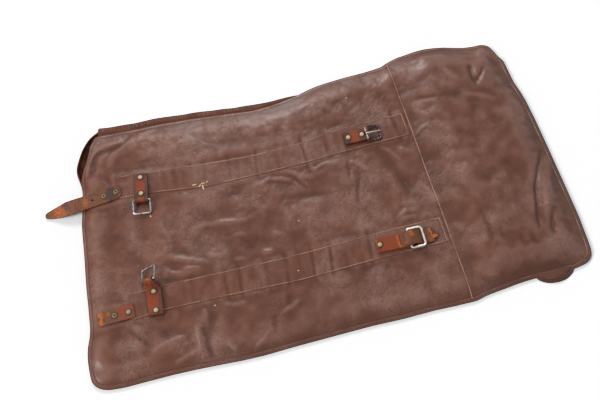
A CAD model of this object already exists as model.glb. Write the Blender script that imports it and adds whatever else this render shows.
"""Looks of a worn leather tool roll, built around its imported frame: outer leather, bands,
stitching, linings, pockets, strap fittings, metalwork, and the stage it is photographed on."""

import math  # noqa: E402

import bpy  # noqa: E402
import numpy as np  # noqa: E402
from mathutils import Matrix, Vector, noise  # noqa: E402


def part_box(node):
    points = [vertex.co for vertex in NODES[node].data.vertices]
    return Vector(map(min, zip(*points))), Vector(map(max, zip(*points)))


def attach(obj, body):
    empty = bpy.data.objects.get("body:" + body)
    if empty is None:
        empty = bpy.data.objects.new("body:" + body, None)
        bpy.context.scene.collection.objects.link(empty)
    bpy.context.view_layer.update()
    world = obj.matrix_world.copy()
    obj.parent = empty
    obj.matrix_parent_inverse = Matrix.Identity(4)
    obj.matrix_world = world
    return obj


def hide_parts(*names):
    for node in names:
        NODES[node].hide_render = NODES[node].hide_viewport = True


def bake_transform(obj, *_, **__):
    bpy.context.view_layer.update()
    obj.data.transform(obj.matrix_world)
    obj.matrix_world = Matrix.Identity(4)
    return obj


bl_info = {
    "name": "Leather tool roll",
    "version": (1, 0, 0),
    "blender": (4, 5, 0),
    "location": "3D View > Sidebar > Tool roll",
    "description": "Builds the leather, stitching and fittings of a tool roll around its frame",
    "category": "Object",
}

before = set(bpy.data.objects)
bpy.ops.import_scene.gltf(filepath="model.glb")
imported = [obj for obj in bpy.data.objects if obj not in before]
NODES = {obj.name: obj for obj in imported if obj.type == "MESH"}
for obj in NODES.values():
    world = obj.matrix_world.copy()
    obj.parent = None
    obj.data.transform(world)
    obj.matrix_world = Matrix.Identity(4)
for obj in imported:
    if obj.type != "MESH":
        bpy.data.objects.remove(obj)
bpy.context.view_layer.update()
MM = 0.001

# Outline of the outer leather as it lies, in mm: x and y along the long edges, y and x along the short ones
UPPER_EDGE = (
    (-273, 175.4), (-264, 177.4), (-247, 177.4), (-228, 176.5), (-209, 176), (-186.5, 176),
    (-166, 175.4), (-150, 173.9), (-131, 172.9), (-111, 170.9), (-91, 168.8), (-72.6, 167.3),
    (-50.4, 164.8), (-34.3, 162.8), (-10, 163.8), (10, 166.3), (30, 169.9), (45, 172.2), (60, 176.8),
    (75, 179.8), (90, 181.5), (105, 182.8), (120, 183.8), (150, 185), (165, 186), (180, 188),
    (195, 194), (210, 198.2), (225, 200), (240, 202.2), (255, 202.8), (270, 201.2), (285, 198.5),
    (300, 194), (315, 189.8), (330, 188), (345, 188), (350, 186.2), (355, 183.5),
)
LOWER_EDGE = (
    (-332, -187.5), (-329, -194), (-326, -197.2), (-323, -199.5), (-320, -201.2), (-315, -203),
    (-310, -204.2), (-300, -205.2), (-290, -205.8), (-270, -205.5), (-225, -205.5), (-195, -206.5),
    (-165, -208.2), (-135, -210.2), (-105, -211), (-60, -209.8), (0, -209.2), (45, -208.8),
    (90, -210.2), (135, -209.8), (165, -211), (195, -211.5), (210, -208), (225, -206.2),
    (240, -204.8), (255, -203), (270, -202), (285, -201.5), (300, -202), (345, -202), (350, -201.2),
    (360, -199.5), (365, -197.5), (370, -194), (374, -189.2),
)
STRAP_EDGE = (
    (-193, -329.5), (-190, -331.2), (-185, -332.5), (-180, -333), (-170, -333.2), (-160, -333.2),
    (-150, -332.2), (-140, -330.2), (-130, -326.5), (-120, -323.8), (-110, -322.5), (-100, -322),
    (-80, -320.5), (-60, -319.5), (-40, -317.8), (-20, -315.8), (0, -314.2), (20, -312.8), (40, -311.2),
    (50, -309), (80, -304), (90, -302.5), (100, -302.8), (111, -302), (118, -299.4), (126.5, -296.4),
    (133, -292), (140, -288.4), (149, -284.5), (160, -281.1), (173, -273), (177, -270),
)
FAR_EDGE = (
    (-195, 368.8), (-190, 373.5), (-185, 375.8), (-180, 377), (-170, 378), (-150, 379), (-130, 380.2),
    (-80, 380), (0, 379.5), (40, 378.8), (70, 377.5), (80, 376.5), (90, 375.2), (100, 373.2),
    (110, 371.5), (130, 370.8), (150, 370.2), (160, 364.8), (170, 362), (175, 360), (180, 357.8),
    (185, 353),
)
FACING_EDGE = (
    (-263, 191), (-250, 189), (-244, 188.5), (-225, 187.8), (-210, 186.2), (-195, 186.5), (-180, 186.8),
    (-165, 185.5), (-150, 184), (-135, 182.2), (-120, 182), (-105, 180.2), (-90, 178), (-75, 177),
    (-60, 174.2), (-45, 173.8), (-30, 172.5), (-15, 171.5), (0, 171), (15, 172), (30, 172), (50, 172),
    (70, 177), (110, 180), (150, 183), (186, 186),
)
CURLED_RIM = (
    (-264, 187), (-267.5, 184), (-275.2, 180), (-281.2, 175), (-285.5, 170), (-292.8, 160), (-297.8, 150),
    (-302.2, 140), (-306, 130), (-306.2, 120), (-304.2, 110), (-302.8, 100), (-302.5, 92),
)

# Where the roll folds, and the lines half way between, at which its sheets are cut into spans
SEGMENT, END_NEAR = 0.1265, 0.0955
FOLDS = [-1.5 * SEGMENT, -0.5 * SEGMENT, 0.5 * SEGMENT, 1.5 * SEGMENT, 1.5 * SEGMENT + END_NEAR]
BODIES = ["main_1", "main_2", "main_3", "main_4", "end_near", "end_tip"]
CUTS = [(low + high) / 2 for low, high in zip(FOLDS, FOLDS[1:])]
SEAM = FOLDS[3]

# Heights of the layers
PANEL_TOP = 0.0098
BAND, BAND_WIDTH = 0.0009, 0.0375
BAND_BED = 0.0006
BAND_START = {"upper": -0.254, "lower": -0.266}
BAND_END = 0.1865

# Stitch rows of the two bands, in mm: place along the roll, lower row, upper row
BAND_ROWS = {
    "upper": (
        (-260, 64, 98), (-243, 64, 98), (-197, 61, 94), (-150, 55, 90), (-120, 51.6, 87), (-56, 51.5, 82.8),
        (14, 52.5, 83.4), (50, 54, 88.5), (74, 55.2, 91.9), (130, 57.2, 94), (184, 58.9, 95.3),
        (200, 59, 95.4),
    ),
    "lower": (
        (-275, -120, -83), (-219, -116, -82.3), (-150, -117.4, -84), (-32, -122, -86), (74, -119.3, -83),
        (184, -118.5, -82.5), (200, -118.5, -82.5),
    ),
}


def srgb(red, green, blue):
    """A colour given as it looks on a screen, 0 to 255, as the linear values that Blender holds."""
    shares = (value / 255 for value in (red, green, blue))
    return tuple(s / 12.92 if s <= 0.04045 else ((s + 0.055) / 1.055) ** 2.4 for s in shares)


def setting(name, description, default, **kinds):
    return bpy.props.FloatProperty(name=name, description=description, default=default, **kinds)


def length(name, description, default):
    return setting(name, description, default, unit="LENGTH", subtype="DISTANCE", precision=4)


def angle(name, description, degrees):
    return setting(name, description, math.radians(degrees), subtype="ANGLE", unit="ROTATION")


def colour(name, description, *values):
    return bpy.props.FloatVectorProperty(
        name=name, description=description, default=srgb(*values), min=0.0, max=1.0, size=3, subtype="COLOR"
    )


class SheetSizes(bpy.types.PropertyGroup):
    """Sizes of the leather sheet, its bands and its sewing."""

    mesh_step: length("Mesh step", "Widest spacing of the mesh of the outer leather", 0.0024)
    edge_height: length("Edge height", "Height of the sheet's edge above the floor", 0.0033)
    drape_run: length("Drape", "How far in from its long edges the sheet rises to its full height", 0.032)
    end_rise: length("End rise", "How much higher the end panel stands over its pouch", 0.0082)
    hem_width: length("Hem", "Distance of the hem's stitching from the edge", 0.0031)
    end_hem: length("End hem", "Distance of the stitching from the end panel's far edge", 0.0056)
    hem_fold: length("Hem fold", "Distance of the hem's inner edge from the sheet's edge", 0.0049)
    undulation: length("Undulation", "Height of the soft swells of the worn leather", 0.0022)
    ripple: length("Ripple", "Depth of the ripples in the sewn bands", 0.0009)
    band_margin: length("Band margin", "From each stitch row of a band to the band's edge", 0.0016)
    stitch: length("Stitch", "Length of one stitch", 0.0027)
    stitch_pitch: length("Stitch pitch", "Distance from one stitch to the next", 0.0034)
    thread: length("Thread", "Thickness of the thread", 0.0013)
    fold_reach: length("Fold reach", "How far to each side of a fold line the leather bends", 0.008)


class LeatherColours(bpy.types.PropertyGroup):
    """Colours of the leathers and threads."""

    outer_dark: colour("Outer, dark", "Darker blotches of the outer leather", 98, 54, 38)
    outer_mid: colour("Outer, mid", "Main colour of the outer leather", 113, 65, 47)
    outer_light: colour("Outer, light", "Rubbed places of the outer leather", 156, 118, 106)
    valley: colour("Valley", "Soil in the folds of the outer leather", 68, 37, 25)
    lining_mid: colour("Lining", "Main colour of the lining and pockets", 140, 104, 84)
    lining_dark: colour("Lining, dark", "Soiled places of the lining and pockets", 92, 64, 50)
    tab_mid: colour("Tab", "Main colour of the leather tabs", 104, 56, 42)
    tab_dark: colour("Tab, dark", "Dark finish left on the tabs and straps", 60, 40, 37)
    tab_red: colour("Tab, red", "Places where the tabs have lost their dark finish", 146, 62, 30)
    strap_mid: colour("Strap", "Main colour of the straps", 122, 72, 46)
    strap_raw: colour("Strap, raw", "Torn and rubbed places of the straps", 186, 100, 42)
    thread: colour("Thread", "Colour of the sewing thread", 216, 172, 150)


class MetalColours(bpy.types.PropertyGroup):
    """Colours of the metal fittings."""

    steel: colour("Steel", "Clean steel of the rings and buckles", 146, 145, 145)
    steel_dull: colour("Steel, dull", "Tarnished steel", 66, 60, 56)
    bright: colour("Steel, bright", "Rubbed steel of the lower buckle and the tongue", 206, 200, 188)
    rivet: colour("Rivet", "Pale metal of the rivets", 196, 174, 136)
    rivet_dull: colour("Rivet, dull", "Tarnish on the rivets", 128, 102, 72)
    eyelet: colour("Eyelet", "Olive brown metal of the billet's and the stub's rivets", 128, 108, 76)
    eyelet_dark: colour("Eyelet, dark", "Dark centres of those rivets", 44, 36, 28)


class StageSizes(bpy.types.PropertyGroup):
    """Camera and lights."""

    camera_distance: length("Camera distance", "From the middle of the roll to the camera", 1.21)
    camera_turn: angle("Camera turn", "How far to the left of square-on the camera stands", 14.8)
    camera_height: angle("Camera height", "Angle of the camera above the floor", 65)
    lens: setting("Lens", "Focal length in millimetres", 50.0, min=1.0)
    ambient: setting("Ambient", "Strength of the light from all round", 0.3, min=0.0)
    key_power: setting("Key light", "Power of the soft light on the left", 44.0, min=0.0, unit="POWER")
    sheen_power: setting("Sheen light", "Power of the light behind the roll", 15.0, min=0.0, unit="POWER")
    floor: colour("Floor", "Colour of the floor", 244, 243, 242)


def sizes():
    return bpy.context.scene.roll_sizes


def leathers():
    return bpy.context.scene.roll_leathers


def metals():
    return bpy.context.scene.roll_metals


# Outline and height of the sheet


def smooth_line(points, softness=5.0):
    """A function through measured points, with its corners rounded over that many millimetres."""
    along, across = np.array(points, float).T
    dense = np.arange(along[0], along[-1] + 1, 1.0)
    reach = np.arange(-3 * softness, 3 * softness + 1)
    weights = np.exp(-((reach / softness) ** 2))
    level = np.interp(dense, along, across)
    padded = np.pad(level, len(reach) // 2, mode="reflect", reflect_type="odd")
    soft = np.convolve(padded, weights / weights.sum(), "valid")[: len(dense)]
    return lambda value: np.interp(np.asarray(value, float) / MM, dense, soft) * MM


upper_edge, lower_edge = smooth_line(UPPER_EDGE, 3.0), smooth_line(LOWER_EDGE, 2.0)
strap_edge, far_edge = smooth_line(STRAP_EDGE, 3.0), smooth_line(FAR_EDGE, 3.0)
facing_edge = smooth_line(FACING_EDGE)
band_rows = {
    name: tuple(smooth_line([(row[0], row[side]) for row in rows], 8.0) for side in (1, 2))
    for name, rows in BAND_ROWS.items()
}
RIM = 0.0009
FOOT_LEFT, HEAD_LEFT = LOWER_EDGE[0][1] * MM, UPPER_EDGE[0][1] * MM
FOOT_RIGHT, HEAD_RIGHT = LOWER_EDGE[-1][1] * MM, UPPER_EDGE[-1][1] * MM
LEFT_STATION, RIGHT_STATION = -0.318, 0.378
CORNER_SOFTNESS = 0.003


def mix(start, end, amount):
    return start + (end - start) * amount


def ease(amount):
    """0 to 1, level at both ends."""
    amount = np.clip(amount, 0.0, 1.0)
    return amount * amount * (3 - 2 * amount)


def bump(distance, width):
    return np.exp(-((distance / width) ** 2))


def sheet_place(station, across):
    """Where points of the sheet lie, from their stations along it and their shares across it."""
    station, across = np.broadcast_arrays(np.asarray(station, float), np.asarray(across, float))
    left = np.clip((station - FOLDS[0]) / (LEFT_STATION - FOLDS[0]), 0, 1)
    right = np.clip((station - FOLDS[4]) / (RIGHT_STATION - FOLDS[4]), 0, 1)

    def along(share_across):
        left_edge = strap_edge(mix(FOOT_LEFT, HEAD_LEFT, share_across)) + RIM
        right_edge = far_edge(mix(FOOT_RIGHT, HEAD_RIGHT, share_across)) - RIM
        middle = np.clip(station, FOLDS[0], FOLDS[4])
        return middle + left * (left_edge - FOLDS[0]) + right * (right_edge - FOLDS[4])

    foot = lower_edge(along(np.zeros_like(across))) + 2.6 * RIM
    head = upper_edge(along(np.ones_like(across))) - RIM
    return along(across), mix(foot, head, across)


def edge_distance(x, y):
    """Rough distance of a point from the nearest edge of the sheet."""
    sides = [upper_edge(x) - y, y - lower_edge(x) - 1.6 * RIM, x - strap_edge(y), far_edge(y) - x]
    sides = [side - RIM for side in sides]
    sides = np.clip(np.array(sides), 0, 1)
    nearest = sides.min(axis=0)
    crowded = np.log(np.exp(-(sides - nearest) / CORNER_SOFTNESS).sum(axis=0))
    return np.maximum(nearest - CORNER_SOFTNESS * crowded, 0)


def polyline_distance(x, y, points):
    """Distance of each point from a line through points in mm, and how far along the line it is, 0 to 1."""
    corners = np.array(points, float) * MM
    lengths = np.hypot(*np.diff(corners, axis=0).T)
    starts = np.concatenate([[0], np.cumsum(lengths)])
    best, place = np.full(np.shape(x), 1e9), np.zeros(np.shape(x))
    for index, reach in enumerate(lengths):
        (ax, ay), (bx, by) = corners[index], corners[index + 1]
        amount = np.clip(((x - ax) * (bx - ax) + (y - ay) * (by - ay)) / reach**2, 0, 1)
        far = np.hypot(x - mix(ax, bx, amount), y - mix(ay, by, amount))
        place = np.where(far < best, (starts[index] + amount * reach) / starts[-1], place)
        best = np.minimum(best, far)
    return best, place


def swell(x, y, scale, seed, detail=3):
    """Smooth noise between about -1 and 1, the same at every run. The scale is the size of one swell."""
    flat_x, flat_y = np.ravel(x) / scale, np.ravel(y) / scale
    values = [noise.fractal((a, b, seed), 1.0, 2.0, detail) for a, b in zip(flat_x, flat_y)]
    return np.reshape(values, np.shape(x))


# Folds of the worn leather: points in mm, height (a valley is below zero) and half width, both in mm
FOLD_LINES = (
    # the curled corner by the billet
    (((-220, 168), (-224, 158), (-236, 151), (-250, 148), (-262, 147), (-272, 145), (-277, 137),
      (-281, 122), (-287, 109)), -3.2, 5.0),
    (((-219, 164), (-222, 155), (-232, 146), (-240, 139), (-246, 135), (-253, 129), (-257, 120)), 2.4, 6.0),
    (((-187, 170), (-195, 164), (-203, 162), (-210, 153), (-216, 146), (-225, 137), (-234, 132)), 1.3, 6.0),
    (((-236, 154), (-248, 153), (-262, 152), (-272, 148), (-278, 143), (-285, 135), (-292, 125),
      (-295, 115)), 2.2, 4.0),
    # the tube along the far edge and the folds round the pouch's lower corner
    (((364, -18), (354, -35), (343, -51), (332, -73), (323, -101), (313, -135)), -2.2, 2.8),
    (((371, -30), (361, -52), (351, -75), (342, -100), (333, -128)), 2.6, 7.0),
    (((346, -107), (337, -122), (331, -147)), -1.7, 4.0),
    (((324, -105), (337, -105), (352, -107)), 0.9, 2.2),
    (((300, -136), (299, -151), (304, -158)), -0.7, 3.6),
    (((260, -120), (259, -136)), -0.5, 3.6),
    (((283, -136), (284, -151), (291, -156)), -0.7, 4.0),
    (((214, 112), (246, 108), (286, 100)), -1.0, 5.0),
    (((-203, 12), (-196, -14)), 0.5, 1.6),
    (((240, -85), (243, -94), (246, -115), (243, -137)), -0.7, 4.0),
    (((310, 148), (307, 126), (309, 115)), -2.0, 4.2),
    (((331, 142), (323, 130), (309, 115)), -1.7, 4.0),
    (((270, 151), (281, 131)), 1.2, 5.0),
    (((340, 178), (332, 150), (322, 120)), 1.2, 6.0),
    (((176, -22), (186, -38), (190, -58)), 1.0, 5.0),
    (((128, -66), (142, -60), (158, -62)), 1.2, 3.0),
    (((281, 103), (309, 91), (328, 79)), 1.5, 6.0),
    (((215, 24), (246, 13), (279, 8)), -1.0, 8.0),
    # creases below the upper band
    (((-60, 36), (-46, 36), (-35, 40), (-21, 36), (-6, 30), (3, 20), (9, 12)), 1.2, 2.8),
    (((-36, 48), (-11, 46), (4, 38), (19, 28), (26, 25)), 1.0, 2.8),
    (((-6, 31), (4, 24), (14, 11)), -1.0, 2.8),
    (((24, 48), (33, 38), (41, 42), (49, 44), (69, 41)), 1.3, 2.6),
    (((22, 47), (27, 29)), -0.9, 2.6),
    (((-4, 44), (4, 40), (10, 29), (15, 16)), 0.9, 2.8),
    (((86, 38), (97, 29), (110, 18)), 1.1, 2.8),
    (((81, 35), (81, 23), (78, 12)), -0.8, 2.4),
    (((95, 16), (84, -10), (79, -33)), -0.8, 3.2),
    (((134, 46), (141, 23), (148, 6), (153, -13), (159, -30), (169, -50)), -2.2, 9.0),
    (((135, 50), (148, 39), (159, 22)), 1.0, 2.2),
    (((164, 39), (182, 28)), 0.9, 3.2),
    (((195, 56), (206, 64), (218, 67)), 1.0, 2.2),
    (((205, 93), (221, 81)), 0.8, 3.2),
    # puckers of the lower left corner and of the strip under the lower band
    (((-244, -169), (-225, -162), (-201, -160)), 1.4, 3.0),
    (((-218, -191), (-200, -185), (-182, -183)), 1.3, 3.0),
    (((-174, -150), (-173, -175), (-171, -196)), -1.3, 4.5),
    (((-183, -151), (-183, -171), (-184, -190)), 0.9, 2.6),
    (((-145, -183), (-138, -195)), 1.2, 3.2),
    (((-111, -196), (-98, -190), (-88, -181)), 1.1, 3.0),
    (((-284, -118), (-269, -124), (-255, -137)), 1.0, 3.2),
    (((-273, -132), (-260, -147), (-249, -160)), -1.0, 4.0),
    (((-66, -161), (-52, -156), (-40, -150)), 1.0, 3.0),
    (((-145, -124), (-130, -133), (-111, -134)), 1.0, 2.8),
    (((-208, -60), (-202, -68), (-186, -72)), 0.9, 2.6),
    # soft folds of the middle and of the strip under the lower band
    (((-28, 5), (1, 1), (19, -3), (50, -4)), -1.1, 6.5),
    (((-158, -10), (-139, -8), (-120, -10), (-99, -13), (-78, -17)), 0.9, 4.0),
    (((-202, -42), (-186, -50), (-169, -56), (-148, -65)), 1.3, 3.8),
    (((-184, -66), (-172, -68), (-161, -70)), 0.9, 2.8),
    (((-144, -54), (-128, -60)), 0.8, 2.6),
    (((-113, -69), (-96, -73)), 0.7, 2.6),
    (((-72, -68), (-58, -71)), 0.9, 2.6),
    (((-105, -33), (-87, -36)), 0.8, 2.6),
    (((-51, -46), (-40, -49)), 0.8, 2.6),
    (((131, -70), (154, -71)), 1.0, 2.6),
    (((-161, -134), (-161, -147), (-171, -169)), -1.2, 6.0),
    (((-78, -161), (-82, -188)), -0.9, 4.0),
    (((-50, -139), (-56, -156)), -0.8, 3.6),
    (((-170, -129), (-165, -142)), 0.9, 3.2),
    (((-183, -162), (-173, -173)), 0.9, 4.0),
    (((-290, -150), (-240, -165), (-180, -168)), 0.8, 9.0),
    (((-60, 120), (0, 128), (70, 122)), 0.8, 10.0),
)

# Grooves across the bands, in mm along the roll: place at the band's upper and lower edge, depth, half width
BAND_GROOVES = {
    "upper": ((168, 170, 1.6, 2.4), (146, 148, 0.5, 3.0), (61, 60, 0.7, 2.6), (24, 25, 1.4, 2.0),
              (-14, -18, 0.5, 3.0), (-46, -50, 1.2, 2.0), (-87, -89, 0.9, 2.2), (-123, -127, 0.6, 2.6),
              (-143, -145, 0.6, 2.8), (-168, -169, 0.8, 2.6)),
    "lower": ((78, 73.2, 1.5, 2.2), (63, 60, 0.6, 2.8), (40, 38, 0.5, 3.0), (21, 16, 1.5, 2.0),
              (-6, -10, 1.4, 2.0), (-43, -48, 1.2, 2.8), (-73, -74, 0.7, 2.6), (-110, -113, 1.1, 2.2),
              (-131, -132, 1.1, 2.0), (-175, -179, 0.8, 2.8)),
}


def band_cover(x, y, margin=0.003):
    """1 under the bands, 0 away from them."""
    cover = np.zeros(np.shape(x))
    for name, (low, high) in band_rows.items():
        out = np.maximum(low(x) - y, y - high(x)) - sizes().band_margin
        ends = 1 - ease((BAND_START[name] - 0.001 - x) / margin)
        ends = ends * (1 - ease((x - BAND_END - 0.001) / margin))
        cover = np.maximum(cover, (1 - ease(out / margin)) * ends)
    return cover


def band_ripple(x, y):
    """How far the bands and the leather under them dip in their ripples, at or below zero."""
    depth = np.zeros(np.shape(x))
    for seed, (name, (low, high)) in enumerate(band_rows.items()):
        near = 1 - ease((np.maximum(low(x) - y, y - high(x)) - 0.003) / 0.012)
        near *= 1 - ease((x - BAND_END) / 0.006)
        up = np.clip((y - low(x)) / (high(x) - low(x)), 0, 1)
        grooves = np.zeros(np.shape(x))
        for top, foot, deep, width in BAND_GROOVES[name]:
            uneven = 0.75 + 0.5 * swell(x, y, 0.02, 2.9 + seed, 2)
            grooves += deep * MM * 0.85 * uneven * bump(x - mix(foot, top, up) * MM, width * 1.25 * MM)
        waves = 0.5 + 0.5 * swell(x, y * 0.45, 0.011, 7.3 + seed * 3.1, 3)
        depth = np.maximum(depth, near * (grooves + sizes().ripple * waves))
    return -depth * fitting_clearance(x, y)


# Where the strap fittings lie: middle and half size, along and across the roll
FITTING_SPOTS = (
    (-0.2190, 0.0655, 0.014, 0.031), (-0.2305, -0.0965, 0.014, 0.031), (0.1152, 0.073, 0.032, 0.014),
    (0.129, -0.1035, 0.047, 0.014), (-0.278, 0.0715, 0.032, 0.013), (-0.285, -0.108, 0.028, 0.012),
)
FITTING_FADE = 0.008


def fitting_clearance(x, y):
    """0 under the strap fittings, where the leather lies flat, and 1 away from them."""
    clear = np.ones(np.shape(x))
    for mid_x, mid_y, half_x, half_y in FITTING_SPOTS:
        out = np.maximum(np.abs(x - mid_x) - half_x, np.abs(y - mid_y) - half_y)
        clear = np.minimum(clear, ease(out / FITTING_FADE))
    return clear


# Fittings with dark soil under them and round them
SOILED_ROUND = (
    "upper_ring_tab", "lower_ring_tab", "upper_buckle_tab", "lower_buckle_tab", "upper_buckle_frame",
    "lower_buckle_frame", "strap_remnant", "lower_strap_stub", "billet_base",
)


def outline_of(node):
    """The corners of a node's outline from above, anticlockwise, in mm."""
    places = sorted({(round(v.co.x / MM, 1), round(v.co.y / MM, 1)) for v in NODES[node].data.vertices})
    halves = []
    for run in (places, places[::-1]):
        half = []
        for point in run:
            while len(half) > 1 and turn_of(half[-2], half[-1], point) <= 0:
                half.pop()
            half.append(point)
        halves += half[:-1]
    return halves


def turn_of(first, second, third):
    """Above zero where the way through three points turns left."""
    (ax, ay), (bx, by), (cx, cy) = first, second, third
    return (bx - ax) * (cy - ay) - (by - ay) * (cx - ax)


def fitting_soil(x, y):
    """The dark soil under and round the strap fittings, most of it away from the light."""
    found = np.zeros(np.shape(x))
    for node in SOILED_ROUND:
        corners = outline_of(node)
        far, _ = polyline_distance(x, y, corners + corners[:1])
        inside = np.ones(np.shape(x), bool)
        for (ax, ay), (bx, by) in zip(corners, corners[1:] + corners[:1]):
            inside &= (bx - ax) * (y / MM - ay) - (by - ay) * (x / MM - ax) >= 0
        mid_x, mid_y = np.mean(corners, axis=0)
        away = ease(((x / MM - mid_x) * 0.8 - (y / MM - mid_y) * 0.6 + 2) / 8)
        found = np.maximum(found, np.where(inside, 0.45, bump(far, 0.0020) * (0.25 + 0.75 * away)))
    return found


# Along the strap end the leather rises steeply from a high edge
STRAP_RUN, STRAP_DROP = 0.020, 0.0028


def sheet_level(x, y):
    """Height of the upper side of the leather before its folds."""
    size = sizes()
    edge = edge_distance(x, y)
    rise = size.end_rise * ease((x - SEAM - 0.002) / 0.06)
    run = size.drape_run * (1 + 0.35 * ease((x - SEAM) / 0.04))
    strap_side = 1 - ease((x + 0.27) / 0.03)
    inside = ease((np.minimum(upper_edge(x) - y, y - lower_edge(x)) - 0.02) / 0.02)
    run = mix(run, STRAP_RUN, strap_side * inside)
    straight = strap_side * ease((y + 0.16) / 0.05) * ease((0.13 - y) / 0.05)
    start = mix(size.edge_height, PANEL_TOP - STRAP_DROP, straight)
    lift = np.sin(np.clip(edge / run, 0, 1) * math.pi / 2) * 0.6 + ease(edge / run) * 0.4
    return mix(start, PANEL_TOP + rise, lift)


NARROW_FOLD, NARROW_GAIN = 5, 0.35  # half width in mm, and how much higher such folds stand
SEAM_RIDGE, HEM_GROOVE = 0.0004, 0.0003
CURL, CURL_HEIGHT = (-0.281, 0.152), 0.0062
LOWEST = 0.002


def sheet_height(x, y):
    """Height of the upper side of the outer leather."""
    size = sizes()
    x, y = np.asarray(x, float), np.asarray(y, float)
    edge = edge_distance(x, y)
    bands, clear = band_cover(x, y, 0.010), fitting_clearance(x, y)
    free = (1 - bands) * clear
    inner = ease((edge - 0.004) / 0.018)
    height = sheet_level(x, y)
    end = ease((x - SEAM - 0.01) / 0.03)
    waves = swell(x, y * 1.3, 0.075, 1.7) * size.undulation * (0.85 + 0.45 * end)
    waves += swell(x * 1.2, y, 0.028, 5.2) * size.undulation * 0.3
    zone = ease((swell(x, y, 0.085, 12.1, 2) + 0.15) / 0.5)
    waves += (0.4 - np.abs(swell(x, y * 1.2, 0.013, 9.4, 3))) * size.undulation * 0.3 * zone
    height = height + waves * inner * free
    for points, tall, width in FOLD_LINES:
        tall *= 1.0 + NARROW_GAIN * (width < NARROW_FOLD)
        far, place = polyline_distance(x, y, points)
        taper = np.sqrt(np.clip(4 * place * (1 - place), 0, 1)) * 0.7 + 0.3
        height += tall * MM * bump(far, width * MM) * taper * free * ease((edge - 0.001) / 0.01)
    height += band_ripple(x, y) + BAND_BED * bands
    across = x - SEAM
    ridge = SEAM_RIDGE * bump(across - 0.0008, 0.0010) - SEAM_RIDGE * bump(across + 0.0012, 0.0011)
    height += ridge * ease(edge / 0.004)
    height -= HEM_GROOVE * bump(edge - size.hem_fold, 0.0009) * (1 - bands)
    curl = bump(np.hypot((x - CURL[0]) / 0.9, y - CURL[1]), 0.03)
    height += CURL_HEIGHT * curl * (1 - ease(edge / 0.022))
    return np.maximum(height, LOWEST)


def hem_width(x):
    """Distance of the hem's stitching from the edge, wider along the far edge."""
    size = sizes()
    return mix(size.hem_width, size.end_hem, ease((np.asarray(x) - 0.345) / 0.02))


# Building meshes


def fill_out(knots, step):
    """The knots in order, with even steps between them that are no wider than step."""
    places = [knots[0]]
    for low, high in zip(knots, knots[1:]):
        count = max(1, math.ceil((high - low) / step - 1e-6))
        places += [mix(low, high, index / count) for index in range(1, count + 1)]
    return np.array(places)


def grid_normals(points):
    """A normal at each point of a grid of points."""
    along, across = np.gradient(points, axis=0), np.gradient(points, axis=1)
    normals = np.cross(along, across)
    return normals / np.linalg.norm(normals, axis=-1, keepdims=True)


def grid_faces(columns, rows):
    index = np.arange(columns * rows).reshape(columns, rows)
    corners = [index[:-1, :-1], index[1:, :-1], index[1:, 1:], index[:-1, 1:]]
    return np.stack(corners, axis=-1).reshape(-1, 4)


def make_piece(name, points, faces, material, normals=None, values=None):
    """A mesh object of one material, which remembers where each of its points was at rest."""
    mesh = bpy.data.meshes.new(name)
    points = np.asarray(points, float).reshape(-1, 3)
    mesh.from_pydata(points.tolist(), [], [list(map(int, face)) for face in faces])
    mesh.polygons.foreach_set("use_smooth", [True] * len(mesh.polygons))
    keep_rest(mesh)
    keep_values(mesh, values or {})
    if normals is not None:
        mesh.normals_split_custom_set_from_vertices(np.asarray(normals).reshape(-1, 3).tolist())
    mesh.materials.append(material)
    piece = add_object(name, mesh)
    return piece


def keep_rest(mesh):
    """Stores each point's place at rest, which the materials read as their coordinates."""
    places = np.zeros(len(mesh.vertices) * 3, np.float32)
    mesh.vertices.foreach_get("co", places)
    rest = mesh.attributes.new("rest", "FLOAT_VECTOR", "POINT")
    rest.data.foreach_set("vector", places)


def keep_values(mesh, values):
    """Stores a number at each point under each name, which the materials read too."""
    for key, value in values.items():
        store = mesh.attributes.new(key, "FLOAT", "POINT")
        store.data.foreach_set("value", np.asarray(value, np.float32).ravel())


def add_object(name, data):
    """An object of the scene that holds a mesh, a lamp or a camera."""
    made = bpy.data.objects.new(name, data)
    bpy.context.scene.collection.objects.link(made)
    return made


END_REACH = 1.4  # the two folds of the end panel bend over a longer stretch


def bend(piece, fold):
    """Lets a piece bend across one fold line of the roll."""
    reach = sizes().fold_reach * (END_REACH if fold >= 3 else 1.0)
    start, end = (FOLDS[fold] - reach, 0, 0), (FOLDS[fold] + reach, 0, 0)
    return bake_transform(piece, BODIES[fold], BODIES[fold + 1], start=start, end=end)


def spans(stations):
    """For each fold line, the first and last index of the stations that bend across it."""
    limits = [stations[0]] + CUTS + [stations[-1]]
    found = []
    for fold, (low, high) in enumerate(zip(limits, limits[1:])):
        inside = np.flatnonzero((stations > low - 1e-7) & (stations < high + 1e-7))
        if len(inside) > 1:
            found.append((fold, inside[0], inside[-1]))
    return found


# Rows round the sheet's edge: distance beyond it, share of its height, and upward lean of the normal
RIM_STEPS = (
    (0.00045, 0.86, 0.5), (0.0008, 0.62, 0.1), (0.0008, 0.36, -0.3),
    (0.00045, 0.16, -0.7), (0.0, 0.09, -1.0), (-0.009, 0.09, -1.0),
)


def rim_of(chain, outward):
    """Points and normals of the rows that turn the sheet's edge down and in under it."""
    rows = []
    for out, high, tilt in RIM_STEPS:
        loop = chain + outward * out
        loop[:, 2] = chain[:, 2] * high
        level = math.sqrt(max(0.0, 1 - tilt * tilt))
        rows.append((loop, outward * level + np.array([0, 0, tilt])))
    return rows


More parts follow.
